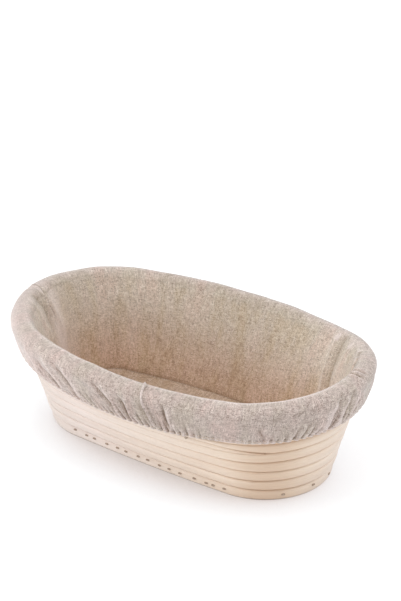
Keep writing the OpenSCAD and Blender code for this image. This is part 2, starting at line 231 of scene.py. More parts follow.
def peeled_rattan():
    """Peeled rattan core, planed and unvarnished: cream, dull, with long fine fibres and thin brown pores.

    Fibres are about 0.3 mm wide and 20 mm long; each course is a little lighter or darker than the next.
    It is painted darker and more golden at the front right, as painted shade where less light reaches the
    wall, than at the left.
    """
    painted_shade_turn = 0.39
    material, tree = new_material("peeled_rattan_core")
    place = node(tree, "ShaderNodeAttribute", attribute_name="grain").outputs["Vector"]
    # Fibres of 20 by 0.3 mm, pores of 9 by 0.4 mm, and lighter and darker lengths of about 110 mm.
    fibres = node(tree, "ShaderNodeVectorMath", {0: place}, operation="MULTIPLY", i1=(50, 3300, 1))
    fine = node(
        tree, "ShaderNodeTexNoise", {"Vector": fibres.outputs[0]}, Scale=1.0, Detail=3.0, Roughness=0.6
    )
    pores = node(tree, "ShaderNodeVectorMath", {0: place}, operation="MULTIPLY", i1=(110, 2300, 7))
    thin = node(tree, "ShaderNodeTexNoise", {"Vector": pores.outputs[0]}, Scale=1.0, Detail=1.0)
    lengths = node(tree, "ShaderNodeVectorMath", {0: place}, operation="MULTIPLY", i1=(9, 120, 1.3))
    tone = node(tree, "ShaderNodeTexNoise", {"Vector": lengths.outputs[0]}, Scale=1.0, Detail=2.0)
    body = ramp(tree, tone.outputs["Fac"], [
        (0.3, srgb("#EADCD4")), (0.5, srgb("#EFE2DB")), (0.72, srgb("#F3E9E4")),
    ])
    course = node(tree, "ShaderNodeSeparateXYZ", {0: place}).outputs["Z"]
    round_wall = node(
        tree, "ShaderNodeMath", {0: course}, operation="MULTIPLY_ADD",
        i1=2 * math.pi, i2=-2 * math.pi * painted_shade_turn,
    )
    facing = node(tree, "ShaderNodeMath", {0: round_wall.outputs[0]}, operation="COSINE")
    # Painted shade: darker and more golden round the front right of the wall, where less light reaches it.
    painted_shade_tint = ramp(tree, facing.outputs[0], [
        (0.0, srgb("#F2F3F3")), (0.37, srgb("#FFFFFF")), (0.77, srgb("#FFFCF4")), (0.91, srgb("#FEF8EC")),
        (0.95, srgb("#FCF4E6")), (0.98, srgb("#F7ECDB")), (1.0, srgb("#F2E4D1")),
    ])
    shade_painted_rattan = node(
        tree, "ShaderNodeMix", {6: body, 7: painted_shade_tint}, data_type="RGBA", blend_type="MULTIPLY", Factor=1.0
    )
    streaks = ramp(tree, fine.outputs["Fac"], [(0.3, srgb("#E6DED4")), (0.6, srgb("#FFFFFF"))])
    fibred = node(
        tree, "ShaderNodeMix", {6: shade_painted_rattan.outputs[2], 7: streaks}, data_type="RGBA", blend_type="MULTIPLY",
        Factor=0.35,
    )
    pitted = ramp(tree, thin.outputs["Fac"], [(0.66, srgb("#FFFFFF")), (0.74, srgb("#CDB9A4"))])
    colour = node(
        tree, "ShaderNodeMix", {6: fibred.outputs[2], 7: pitted}, data_type="RGBA", blend_type="MULTIPLY",
        Factor=0.3,
    )
    bump = node(tree, "ShaderNodeBump", {"Height": fine.outputs["Fac"]}, Strength=0.2, Distance=0.0002)
    shader = node(
        tree, "ShaderNodeBsdfPrincipled",
        {"Base Color": colour.outputs[2], "Normal": bump.outputs["Normal"]},
        Roughness=0.62, IOR=1.5,
    )
    node(tree, "ShaderNodeOutputMaterial", {"Surface": shader.outputs["BSDF"]})
    return material


rattan = peeled_rattan()
coil = base_coil()
core_canes = [core_cane("core_cane_front", -1), core_cane("core_cane_back", 1)]
for cane in [coil, *core_canes]:
    cane.data.materials.append(rattan)
    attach(cane, "basket")
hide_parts("base_coil")
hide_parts("base_core_canes")


# The wall: one climbing coil of the same cane, nine courses high, which flares most along its sides.
# It is made of four lengths, joined by long slanting splices; each course is pinned down to the one below.
# The rim stands a little higher at the two ends, and the joints fall outwards with the flare.
RIM_OVAL = (123.0, 77.5, 70.0)
RIM_SADDLE = 6.0
WALL_COURSES = 9
COURSE_PITCH = 7.45
COURSE_TAPER = 0.12
CANE_THICKNESS = 7.0
CANE_LEAN = 0.85
JOINT_FALL = 0.7
SPLICES = (71 / 28, 119 / 28, 184 / 28)
SPLICE_SHARE = 4 / 28
SPLICE_TIP = 0.25 / 28


def wall_oval(level):
    """The wall's outer oval at a level, counted in courses from the base."""
    share = (np.asarray(level, float) + 0.5) / (WALL_COURSES + 0.5)
    return tuple(b + (r - b) * share for b, r in zip(BASE_OVAL, RIM_OVAL))


def course_height(turn):
    """Average height of a course: a little more at the two ends of the oval than along its sides."""
    saddle = RIM_SADDLE / 2 / (WALL_COURSES * COURSE_PITCH)
    return COURSE_PITCH * (1 + saddle * np.cos(4 * math.pi * turn))


def wall_z(level, turn):
    """Height of a level; the courses are a little taller near the foot."""
    return BASE_HEIGHT + level * (1 + COURSE_TAPER * (1 - level / WALL_COURSES)) * course_height(turn)


def wall_slope(turn):
    """How far the wall flares for each millimetre up."""
    angle = outward_angle(RIM_OVAL, turn)
    grow = [r - b for b, r in zip(BASE_OVAL, RIM_OVAL)]
    rise = (WALL_COURSES + 0.5) * COURSE_PITCH
    return (grow[0] * np.cos(angle) ** 2 + grow[1] * np.sin(angle) ** 2) / rise


def joint_wander(level, turn):
    """How far a joint between courses strays up or down: no cane is quite even."""
    return 0.16 * np.sin(2 * math.pi * (2 * turn + 0.31 * level)) + 0.1 * np.sin(
        2 * math.pi * (5 * turn - 0.47 * level)
    )


def wall_cane(index):
    """One length of the wall's cane, cut slanting at each splice."""
    thinnest = 0.25
    start = -STEP_SHARE if index == 0 else SPLICES[index - 1]
    last = WALL_COURSES if index == len(SPLICES) else SPLICES[index] + SPLICE_SHARE
    t = np.arange(start + SPLICE_TIP, last - SPLICE_TIP, 1 / POINTS_PER_TURN)
    turn = COIL_START + t
    low, high = coil_low(t), coil_high(t, WALL_COURSES)
    middle = np.minimum(low, WALL_COURSES - 1) + 0.5
    if index > 0:
        cut = high - (high - low) * (t - start) / SPLICE_SHARE
        low = np.where(t < start + SPLICE_SHARE, cut, low)
    if index < len(SPLICES):
        cut = high - (high - low) * (t - SPLICES[index]) / SPLICE_SHARE
        high = np.where(t > SPLICES[index], cut, high)
    z_low = wall_z(low, turn) + joint_wander(low, turn) * (low > 0) + TIGHT_JOINT / 2
    z_high = wall_z(high, turn) + joint_wander(high, turn) * (high < WALL_COURSES) - TIGHT_JOINT / 2
    z_high = np.maximum(z_high, z_low + thinnest)
    across, up = square_cane()
    slope = wall_slope(turn)
    low_fall, high_fall = (JOINT_FALL * slope * ease(joint / 2) for joint in (low, high))
    fall = (low_fall + high_fall)[:, None] / 2 + (high_fall - low_fall)[:, None] / 2 * up
    z = (z_low + z_high)[:, None] / 2 + (z_high - z_low)[:, None] / 2 * up
    z = z - fall * CANE_THICKNESS / 2 * across
    stray = 0.12 * np.sin(2 * math.pi * 1.7 * t + 0.4) + 0.08 * np.sin(2 * math.pi * 4.3 * t) - 0.1
    lean = CANE_LEAN * slope[:, None] * (z - wall_z(middle, turn)[:, None])
    off = CANE_THICKNESS / 2 * (across - 1) + lean + stray[:, None]
    oval = tuple(part[:, None] for part in wall_oval(middle))
    x, y = beside_oval(oval, turn[:, None], off)
    return cane_piece("wall_cane_length_%d" % (index + 1), x, y, z, t + 30)


for index in range(len(SPLICES) + 1):
    cane = wall_cane(index)
    cane.data.materials.append(rattan)
    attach(cane, "basket")
    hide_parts("wall_cane_%d" % (index + 1))


# The brads: short steel pins driven by hand, whose small flattened heads have gone dull and brown.
# Those of the lowest course show in a wandering row, and so does the one at each splice.
# The others lie hidden in the joints.
def dull_steel():
    """Mild steel wire, cut and hammered flat, gone dull: dark, half rough, with specks of brown rust."""
    material, tree = new_material("dull_steel_wire")
    place = node(tree, "ShaderNodeTexCoord").outputs["Object"]
    specks = node(tree, "ShaderNodeTexNoise", {"Vector": place}, Scale=1500.0, Detail=3.0)
    colour = ramp(tree, specks.outputs["Fac"], [(0.35, srgb("#9C897A")), (0.65, srgb("#CBBAAA"))])
    rough = node(
        tree, "ShaderNodeMapRange", {"Value": specks.outputs["Fac"]}, **{"To Min": 0.45, "To Max": 0.7}
    )
    shader = node(
        tree, "ShaderNodeBsdfPrincipled",
        {"Base Color": colour, "Roughness": rough.outputs["Result"]}, Metallic=1.0,
    )
    node(tree, "ShaderNodeOutputMaterial", {"Surface": shader.outputs["BSDF"]})
    return material


steel = dull_steel()
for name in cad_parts:
    if "brads" in name:
        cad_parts[name].data.materials.clear()
        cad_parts[name].data.materials.append(steel)


# The liner's floor: an oval panel of unbleached linen, laid on the base and sewn to the band round its edge.
# It curves up a little to the seam, because the band draws it into the corner.
PANEL_Z = 8.3
CLOTH = 0.5
SEAM_LEVEL = 0.5
LINER_INSIDE = -8.35


def along_turns(turn, stops):
    """A value that changes smoothly round the wall, given at some places in turns."""
    places, values = np.array(stops, float).T
    near = np.linspace(-0.012, 0.012, 9)
    wrapped = np.concatenate([places - 1, places, places + 1])
    spread = np.interp(np.mod(np.asarray(turn)[..., None] + near, 1), wrapped, np.tile(values, 3))
    return spread.mean(-1)


def seam_stray(turn):
    """How far the floor seam lies inwards of its even line: it cuts the corner at the back left."""
    return along_turns(turn, [
        (0.0, 0.0), (0.25, 0.2), (0.29, 1.5), (0.32, 4.2), (0.35, 4.6), (0.37, 3.0), (0.39, 0.5), (0.41, 0.0),
        (0.5, 0.0),
    ])


def seam_edge(turn, inwards):
    """Points of the floor seam, moved inwards, and the seam's height."""
    x, y = beside_oval(wall_oval(SEAM_LEVEL), turn, LINER_INSIDE - inwards - seam_stray(turn))
    return x, y, wall_z(SEAM_LEVEL, turn)


def floor_panel():
    """The panel's two faces: nearly flat, rippled a little, and curved up to a groove at the seam."""
    corner = 11.0
    groove = 0.25
    painted_deep_shade = 1.75
    flat_crease, seam_crease = 0.45, 0.6
    turn = np.linspace(0, 1, 360, endpoint=False)
    shares = np.concatenate([np.linspace(0.02, 0.98, 34), np.ones(1)])
    edge_steps = np.concatenate([np.linspace(corner, 1.0, 16), [0.6, 0.3, 0.1, -0.1]])
    rows = []
    inner_x, inner_y, _ = seam_edge(turn, corner)
    for share in shares:
        x, y = share * inner_x, share * inner_y
        ripple = 0.25 * np.sin(0.11 * x + 0.7) * np.sin(0.16 * y) + 0.15 * np.sin(0.31 * x - 0.2 * y)
        rows.append((x, y, PANEL_Z + CLOTH + ripple * (1 - share ** 6)))
    for step in edge_steps[1:]:
        x, y, seam_z = seam_edge(turn, step)
        bend = 1 - math.sqrt(max(0.0, 1 - (1 - step / corner) ** 2))
        dip = groove * (1 - ease(step / 0.6))
        rows.append((x, y, PANEL_Z + CLOTH + (seam_z - PANEL_Z - CLOTH) * min(bend, 1.0) - dip))
    top = np.stack([np.stack(row, -1) for row in rows])
    under = top - np.array([0, 0, CLOTH])
    count, around = top.shape[:2]
    half = count * around
    faces = []
    for i in range(count - 1):
        for k in range(around):
            a, b = i * around + k, i * around + (k + 1) % around
            faces.append((a, a + around, b + around, b))
            faces.append((half + b, half + b + around, half + a + around, half + a))
    rim = half - around
    for k in range(around):
        a, b = rim + k, rim + (k + 1) % around
        faces.append((a, half + a, half + b, b))
    faces.append(tuple(range(around)))
    faces.append(tuple(half + k for k in reversed(range(around))))
    points = np.concatenate([top.reshape(-1, 3), under.reshape(-1, 3)])
    grain = points / 1000
    # The panel takes the linen's painted warm deep shade, and painted shade that is darker still along the
    # seam's groove.
    grain[:, 2] = painted_deep_shade
    crease = np.full((2, count, around), flat_crease)
    crease[:, -3:] = seam_crease
    return add_piece("linen_floor_panel", points, faces, grain=grain, crease=crease.ravel())


def unbleached_linen():
    """Plain-woven unbleached linen, washed: grey beige, matt and a little fuzzy, with uneven slubby threads.

    Its threads lie about 0.55 mm apart, not quite evenly, and go over and under each other.
    Each is lighter or darker along its length, and the cloth has pinker and greener patches.
    It is greener inside and painted lighter there, where less light reaches, and painted a warm brown in
    uneven patches deep down, as the warm shade there.
    The creases that the elastic presses in are painted darker, as shade, and the ridges and the front edge
    are painted paler, as highlights; the left end is painted paler and pinker, as glare.
    """
    material, tree = new_material("unbleached_linen")
    place = node(tree, "ShaderNodeAttribute", attribute_name="grain").outputs["Vector"]
    deep = node(tree, "ShaderNodeSeparateXYZ", {0: place}).outputs["Z"]
    strays = node(tree, "ShaderNodeTexNoise", {"Vector": place}, Scale=220.0, Detail=1.0).outputs["Color"]
    uneven = node(
        tree, "ShaderNodeVectorMath", {0: strays, 2: place}, operation="MULTIPLY_ADD", i1=(0.0016, 0.0016, 0)
    ).outputs[0]
    counted = node(
        tree, "ShaderNodeVectorMath", {0: uneven}, operation="MULTIPLY", i1=(1800, 1800, 0)
    ).outputs[0]
    crossing = node(tree, "ShaderNodeVectorMath", {0: counted}, operation="FLOOR").outputs[0]
    yarns = []
    for across, along in (((7.3, 0, 0), (0, 0.11, 0)), ((0, 5.9, 0), (0.18, 0, 0))):
        slow = node(tree, "ShaderNodeVectorMath", {0: counted}, operation="MULTIPLY", i1=along).outputs[0]
        yarn = node(
            tree, "ShaderNodeVectorMath", {0: crossing, 2: slow}, operation="MULTIPLY_ADD", i1=across
        ).outputs[0]
        yarns.append(node(tree, "ShaderNodeTexNoise", {"Vector": yarn}, Scale=1.0, Detail=2.0).outputs["Fac"])
    count = node(tree, "ShaderNodeVectorMath", {0: crossing}, operation="DOT_PRODUCT", i1=(1, 1, 0))
    over = node(tree, "ShaderNodeMath", {0: count.outputs["Value"]}, operation="FLOORED_MODULO", i1=2.0)
    shown = node(tree, "ShaderNodeMix", {0: over.outputs[0], 2: yarns[0], 3: yarns[1]}, data_type="FLOAT")
    slubs = node(tree, "ShaderNodeMath", {0: shown.outputs[0]}, operation="MULTIPLY_ADD", i1=2.0, i2=-0.7)
    speck = node(tree, "ShaderNodeTexWhiteNoise", {"Vector": crossing}, noise_dimensions="2D")
    thread = node(
        tree, "ShaderNodeMath", {0: speck.outputs["Value"], 2: slubs.outputs[0]}, operation="MULTIPLY_ADD",
        i1=0.4,
    )
    # The inside colour is painted lighter than the outside, where less light reaches, and the deep colour is
    # a painted warm shade.
    outside = ramp(tree, thread.outputs[0], [
        (0.1, srgb("#A89992")), (0.5, srgb("#D9CAC5")), (0.9, srgb("#FBF1ED")),
    ])
    inside = ramp(tree, thread.outputs[0], [
        (0.1, srgb("#B2A69A")), (0.5, srgb("#E0D3C5")), (0.9, srgb("#FCF5EC")),
    ])
    painted_deep_shade = ramp(tree, thread.outputs[0], [
        (0.1, srgb("#B2937A")), (0.5, srgb("#DCBCA3")), (0.9, srgb("#F8DFCA")),
    ])
    flat = node(tree, "ShaderNodeVectorMath", {0: place}, operation="MULTIPLY", i1=(1.8, 0.6, 0))
    patches = node(tree, "ShaderNodeTexNoise", {"Vector": flat.outputs[0]}, Scale=45.0, Detail=3.0)
    spread = node(
        tree, "ShaderNodeMath", {0: patches.outputs["Fac"]}, operation="MULTIPLY_ADD", i1=1.6, i2=-1.8
    )
    low = node(tree, "ShaderNodeMath", {0: deep, 1: spread.outputs[0]}, operation="ADD", use_clamp=True)
    toned = node(tree, "ShaderNodeMix", {0: deep, 6: outside, 7: inside}, data_type="RGBA")
    deep_shaded = node(
        tree, "ShaderNodeMix", {0: low.outputs[0], 6: toned.outputs[2], 7: painted_deep_shade}, data_type="RGBA"
    )
    hues = ramp(tree, patches.outputs["Fac"], [
        (0.36, srgb("#FFF8F6")), (0.5, srgb("#FBFAF8")), (0.64, srgb("#F5F6EF")),
    ])
    aged = node(
        tree, "ShaderNodeMix", {6: deep_shaded.outputs[2], 7: hues}, data_type="RGBA", blend_type="MULTIPLY",
        Factor=1.0,
    )
    # Painted shade in the creases and painted highlight on the ridges, from each point's painted shading.
    painted_shading_value = node(tree, "ShaderNodeAttribute", attribute_name="crease").outputs["Fac"]
    painted_crease_shade = ramp(tree, painted_shading_value, [(0.0, srgb("#FFFFFF")), (0.3, srgb("#E4E1DE")), (1.0, srgb("#A39786"))])
    colour = node(
        tree, "ShaderNodeMix", {6: aged.outputs[2], 7: painted_crease_shade}, data_type="RGBA", blend_type="MULTIPLY",
        Factor=1.0,
    )
    # A painted highlight on the sharpest ridges and along the front edge.
    painted_ridge_highlight = node(
        tree, "ShaderNodeMapRange", {"Value": painted_shading_value}, **{"From Max": 0.14, "To Min": 0.6, "To Max": 0.0}
    )
    colour = node(
        tree, "ShaderNodeMix", {0: painted_ridge_highlight.outputs["Result"], 6: colour.outputs[2]}, data_type="RGBA",
        i7=srgb("#E1D3CF"),
    )
    # Painted glare: paler and pinker at the left end, and a painted highlight on the ridge of the pleat
    # inside it.
    painted_glare_value = node(tree, "ShaderNodeAttribute", attribute_name="bleached").outputs["Fac"]
    colour = node(
        tree, "ShaderNodeMix", {0: painted_glare_value, 6: colour.outputs[2]}, data_type="RGBA", i7=srgb("#F0E1DE")
    )
    # One wave of 5655 radians to the metre takes in two threads.
    weave = node(tree, "ShaderNodeVectorMath", {0: uneven}, operation="MULTIPLY", i1=(5655, 5655, 0))
    split = node(tree, "ShaderNodeSeparateXYZ", {0: weave.outputs[0]})
    over = node(tree, "ShaderNodeMath", {0: split.outputs["X"]}, operation="SINE")
    under = node(tree, "ShaderNodeMath", {0: split.outputs["Y"]}, operation="SINE")
    cross = node(tree, "ShaderNodeMath", {0: over.outputs[0], 1: under.outputs[0]}, operation="MULTIPLY")
    height = node(tree, "ShaderNodeMath", {0: cross.outputs[0], 1: thread.outputs[0]}, operation="ADD")
    bump = node(tree, "ShaderNodeBump", {"Height": height.outputs[0]}, Strength=0.35, Distance=0.0002)
    shader = node(
        tree, "ShaderNodeBsdfPrincipled",
        {"Base Color": colour.outputs[2], "Normal": bump.outputs["Normal"]}, Roughness=0.9, IOR=1.45,
        **{"Sheen Weight": 0.6, "Sheen Roughness": 0.4},
    )
    node(tree, "ShaderNodeOutputMaterial", {"Surface": shader.outputs["BSDF"]})
    return material


linen = unbleached_linen()
panel = floor_panel()
panel.data.materials.append(linen)
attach(panel, "liner")
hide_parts("liner_floor")


# The liner's band: one strip of the same linen, sewn into a loop and to the floor panel.
# It goes up the inside, rolls over the rim and hangs outside as a skirt, gathered by the elastic in its hem.
# Most of its slack has slid to the left and to the right-hand end, and the front right is drawn smooth.
CLOSING_SEAM = 0.7735
HEM_HEIGHT = 3.5
COLUMNS = 1500
INSIDE_ROWS = 48
RIM_ROWS = 20
SKIRT_ROWS = 64
# The painted shading of flat cloth; the roll's and the skirt's upper edges, counted from the top of the cane.
FLAT_CLOTH = 0.3
ROLL_START, SKIRT_START = -3.0, -9.0
# How far the skirt and the inside stand off the cane, and the share of the roll's lean that the inside takes.
SKIRT_STAND = 2.6
EASY_STAND = 0.45
LOOSE_LEAN = 0.7


def even_turns():
    """Places round the wall that are evenly spaced in length, that length, and a way to find it."""
    fine = np.linspace(0, 1, 20001)
    x, y = beside_oval(wall_oval(6.5), fine, 0.0)
    length = np.concatenate([[0], np.cumsum(np.hypot(np.diff(x), np.diff(y)))])
    even = np.linspace(0, length[-1], COLUMNS, endpoint=False)
    return np.interp(even, length, fine), even, length[-1], (
        lambda turn: np.interp(np.mod(turn, 1), fine, length) + np.floor(turn) * length[-1]
    )


turns, girth, girth_all, girth_at = even_turns()


def apart(x, middle):
    """Distance along the girth from a place, the short way round."""
    return np.mod(x - middle + girth_all / 2, girth_all) - girth_all / 2


def hem_level(turn):
    """Where the hem's lower edge lies: it rides higher at the ends, and sags most at the front left."""
    return along_turns(turn, [
        (0.0, 5.4), (0.06, 5.4), (0.25, 4.7), (0.44, 5.3), (0.57, 5.65), (0.63, 5.6), (0.675, 5.15),
        (0.7, 4.65), (0.745, 4.55), (0.79, 4.72), (0.825, 5.25), (0.9, 5.25), (0.95, 5.42),
    ])


def gather_share(turn):
    """How strongly the hem is gathered."""
    return along_turns(turn, [
        (0.04, 1.0), (0.12, 0.7), (0.2, 0.55), (0.3, 0.6), (0.42, 0.8), (0.5, 0.9), (0.6, 1.0), (0.785, 1.0),
        (0.815, 0.2), (0.88, 0.25), (0.915, 0.9), (0.95, 1.1),
    ])


def gather_slant(turn):
    """How far a gather runs sideways for each millimetre down."""
    return along_turns(turn, [
        (0.0, -0.5), (0.08, -0.35), (0.2, 0.05), (0.35, 0.1), (0.5, 0.3), (0.6, 0.5), (0.71, 0.52),
        (0.745, 0.36), (0.775, 0.1), (0.8, 0.0), (0.9, -0.15), (0.96, -0.45),
    ])


def steep_side(turn):
    """Share of a gather that lies before its crease.

    The cloth is pushed over to the right, but to the left at the right end.
    """
    return along_turns(turn, [
        (0.06, 0.3), (0.2, 0.5), (0.4, 0.6), (0.6, 0.74), (0.76, 0.72), (0.85, 0.5), (0.95, 0.28),
    ])


def gathers(height):
    """How deep the gathers cut into the skirt at each height above the hem's edge, and how near a crease is.

    They lie 3.6 to 5.2 mm apart, and each runs 8 to 22 mm up the skirt.
    """
    rng = np.random.default_rng(7)
    deepest = 3.2
    steps = rng.uniform(3.6, 5.2, 240)
    places = np.cumsum(steps)
    places = places[places < girth_all - 3]
    cut, close = np.zeros_like(height), np.zeros_like(height)
    for place, before, after in zip(places, steps, steps[1:]):
        turn = np.interp(place, girth, turns)
        share = float(gather_share(turn))
        depth = deepest * share * rng.uniform(0.75, 1.1)
        reach = rng.choice([8.0, 11.0, 15.0, 22.0], p=[0.3, 0.3, 0.25, 0.15]) * (0.4 + 0.6 * share)
        slant = float(gather_slant(turn)) * rng.uniform(0.8, 1.2)
        off = apart(girth, place) + slant * height
        side = float(steep_side(turn))
        arch = np.clip(np.abs(off) / np.where(off > 0, after * (1 - side), before * side), 0, 1)
        fade = (1 - np.clip(height / reach, 0, 1)) ** 1.2
        cut += depth * fade * (1 - arch) ** 2
        close += (0.3 + 0.7 * share) * (1 - arch) ** 2
    return cut, close


def fold(level, path, amount, width, other_width):
    """One fold along a path of (level, turn): a ridge, or a hollow where amount is below zero.

    The other width is that of its flank on the side of rising turns. It fades out a little past its ends.
    """
    past_end, fade = 1.2, 1.6
    levels, places = np.array(sorted(path), float).T
    line = np.interp(level, levels, girth_at(places))
    ends = ease((level - levels[0] + past_end) / fade) * ease((levels[-1] + past_end - level) / fade)
    off = apart(girth, line)
    return amount * ends * np.exp(-np.abs(off / np.where(off > 0, other_width, width)) ** 1.4)


def crease_of(rise):
    """Painted shading from a fold's rise: 0, a painted highlight along a sharp ridge, and 1, painted shade
    deep in a crease.
    """
    beside = (np.roll(rise, 3) + np.roll(rise, -3)) / 2
    return np.clip(FLAT_CLOTH + 0.25 * (beside - rise) - 0.2 * rise, 0, 1)


def level_at(height):
    """The wall's level at a height."""
    rise = (height - BASE_HEIGHT) / course_height(turns)
    slow = COURSE_TAPER / WALL_COURSES
    most = (1 + COURSE_TAPER) / (2 * slow)
    return most - np.sqrt(np.maximum(most ** 2 - rise / slow, 0))


def rim_inwards(turn):
    """How far the roll over the rim leans into the basket: most along the front, where it is loose."""
    return along_turns(turn, [
        (0.02, 0.5), (0.1, 0.0), (0.25, -0.2), (0.4, -0.2), (0.52, 0.6), (0.6, 2.2), (0.66, 3.2),
        (0.695, 4.2), (0.713, 3.5), (0.734, 4.4), (0.767, 3.2), (0.8, 3.6), (0.816, 3.5), (0.848, 2.7),
        (0.884, 1.6), (0.92, 1.0), (0.963, 1.1),
    ])


def rim_outwards(turn):
    """How far it stands out: most at the back of the right end and the front of the left end."""
    return along_turns(turn, [
        (0.0, 1.5), (0.06, 2.5), (0.09, 2.6), (0.12, 1.8), (0.17, 0.8), (0.25, 0.3), (0.36, 0.6),
        (0.45, 0.8), (0.55, 1.4), (0.6, 1.9), (0.66, 1.2), (0.73, 0.2), (0.9, 0.4), (0.96, 1.0),
    ])


def inside_folds(level):
    """The loose folds inside: one sharp pleat at the left end, a soft ridge and hollow at the right."""
    return sum(fold(level, *one) for one in (
        ([(10.4, 0.522), (9.8, 0.5245), (9.0, 0.5295), (8.4, 0.53), (7.6, 0.5285), (6.6, 0.521)],
         1.7, 0.55, 1.6),
        ([(10.4, 0.5195), (9.8, 0.522), (9.0, 0.527), (8.4, 0.5275), (7.6, 0.5257), (6.6, 0.5185)],
         -3.0, 0.8, 0.7),
        ([(9.2, 0.55), (8.4, 0.5485), (7.6, 0.54), (5.8, 0.534)], -1.2, 3.4, 3.4),
        ([(9.2, 0.568), (8.5, 0.568), (7.0, 0.558), (5.5, 0.547)], 0.8, 4.0, 5.0),
        ([(9.2, 0.519), (8.4, 0.5215), (7.0, 0.514), (5.0, 0.503)], 1.0, 5.0, 2.0),
        ([(8.8, 0.162), (7.4, 0.1605), (5.6, 0.1585), (4.4, 0.1525), (3.0, 0.147)], 1.8, 2.6, 4.2),
        ([(9.1, 0.148), (7.6, 0.1465), (6.3, 0.145), (4.5, 0.141), (3.0, 0.136)], -1.4, 3.6, 3.4),
        ([(9.2, 0.124), (7.0, 0.126), (5.0, 0.13)], 1.0, 5.0, 5.0),
        ([(9.2, 0.0925), (8.9, 0.081), (8.3, 0.07)], 1.4, 1.0, 2.4),
        ([(9.2, 0.0892), (8.9, 0.0775), (8.3, 0.0665)], -1.1, 2.0, 1.0),
    ))


def inside_stand(level):
    """How far the inside of the band stands off the cane, loosest at the left end."""
    wave = 0.35 * np.sin(2 * math.pi * girth / 47) + 0.25 * np.sin(2 * math.pi * girth / 23 + 1)
    stand = EASY_STAND * ease((level - SEAM_LEVEL) / 2) * (1 + wave)
    stand = stand + LOOSE_LEAN * rim_inwards(turns) * ease((level - 6) / 2.6)
    loose = along_turns(turns, [
        (0.06, 1.0), (0.16, 1.6), (0.2, 0.6), (0.4, 0.0), (0.47, 2.0), (0.53, 3.2), (0.58, 2.6), (0.66, 0.0),
        (0.9, 0.0),
    ])
    return stand + loose * ease((level - 1) / 5) * ease((10.5 - level) / 3) + inside_folds(level)


def skirt_folds(level):
    """The long folds of the skirt: those that run up to the rim, and the ridge over the closing seam."""
    return sum(fold(level, *one) for one in (
        ([(6.95, 0.6815), (6.6, 0.688), (5.85, 0.6926), (5.15, 0.6935)], -2.0, 2.2, 1.4),
        ([(8.8, 0.6905), (7.6, 0.6918), (6.7, 0.6952), (6.1, 0.6995)], 1.5, 2.2, 2.2),
        ([(9.1, 0.69), (8.55, 0.699), (7.75, 0.7042), (6.8, 0.7068), (6.0, 0.711), (5.2, 0.713)],
         -2.2, 2.4, 1.5),
        ([(8.9, 0.7025), (8.4, 0.7085), (7.55, 0.7123), (6.75, 0.7138), (6.0, 0.7155)], 2.0, 1.0, 3.4),
        ([(7.6, 0.664), (6.6, 0.669), (5.6, 0.6735)], -1.8, 2.4, 1.2),
        ([(8.2, 0.665), (7.2, 0.669), (6.0, 0.675)], 1.4, 1.0, 3.0),
        ([(8.7, 0.7335), (7.9, 0.737), (7.05, 0.74), (6.2, 0.7447), (5.7, 0.746)], -1.8, 2.4, 1.2),
        ([(9.2, 0.7346), (8.6, 0.74), (8.2, 0.7432), (7.4, 0.7455), (6.9, 0.7474), (5.4, 0.7485)],
         2.0, 0.9, 2.8),
        ([(7.2, 0.7545), (6.3, 0.7555), (5.1, 0.7572)], -1.8, 1.8, 1.0),
        ([(7.4, 0.7585), (6.4, 0.759), (5.3, 0.7597)], 1.5, 1.0, 2.4),
        ([(9.5, 0.7684), (9.2, 0.7697), (8.5, 0.7718), (7.9, 0.773), (7.2, 0.774), (5.6, 0.777)],
         2.5, 0.6, 0.7),
        ([(7.9, 0.7698), (7.0, 0.771), (5.6, 0.7738)], -1.0, 2.6, 0.8),
        ([(8.1, 0.7858), (7.1, 0.7855), (6.3, 0.7864), (5.7, 0.7875)], -1.9, 1.4, 0.9),
        ([(7.8, 0.7888), (7.0, 0.7889), (5.8, 0.7905)], 1.5, 0.9, 2.4),
        ([(6.8, 0.873), (6.1, 0.8773)], -1.3, 1.5, 1.5),
        ([(8.15, 0.9665), (7.45, 0.9615), (6.7, 0.958), (5.8, 0.957)], 2.0, 3.0, 1.0),
        ([(8.3, 0.9708), (7.7, 0.969), (7.2, 0.9657), (6.6, 0.9615), (5.8, 0.961)], -2.2, 1.0, 2.2),
        ([(8.1, 0.985), (7.3, 0.9794), (6.55, 0.975), (5.9, 0.973)], 1.8, 1.8, 1.0),
        ([(8.0, 0.991), (7.4, 0.9885), (6.8, 0.9795), (6.0, 0.9775)], -2.0, 1.0, 2.0),
        ([(7.8, 1.007), (7.3, 1.004), (6.75, 0.994), (6.1, 0.9888)], 1.7, 1.8, 1.0),
        ([(7.6, 1.011), (7.1, 1.006), (6.55, 0.9965), (5.9, 0.993)], -2.0, 1.0, 2.4),
    ))


rim_z = wall_z(float(WALL_COURSES), turns)
hem_z = wall_z(hem_level(turns), turns)
# How much painted glare each stretch of the band takes, at the left end, and how much painted shade it takes,
# or painted light below 0.
bleached = along_turns(turns, [
    (0.42, 0.0), (0.52, 0.62), (0.6, 0.78), (0.65, 0.46), (0.69, 0.1), (0.75, 0.0),
])
painted_shade_by_turn = along_turns(turns, [
    (0.05, 0.0), (0.11, -0.07), (0.17, -0.13), (0.21, -0.04), (0.25, 0.1), (0.3, 0.03), (0.37, -0.12),
    (0.43, -0.09), (0.5, -0.02), (0.56, -0.1), (0.62, -0.08), (0.66, 0.0), (0.7, 0.0), (0.745, 0.14),
    (0.79, 0.08), (0.83, 0.0), (0.92, 0.0), (0.96, -0.06), (0.99, -0.06),
])


def band_row(height, off, crease=FLAT_CLOTH, glare_scale=1.0):
    """One line of points round the band, at a height and off the slope of the wall's outer face.

    Each point also has its painted shading, shade in the creases and highlight on the ridges, and its painted
    glare.
    """
    x, y = beside_oval(wall_oval(level_at(np.minimum(height, rim_z))), turns, off)
    return np.stack([x, y, height, crease + 0 * turns, glare_scale * bleached], -1)


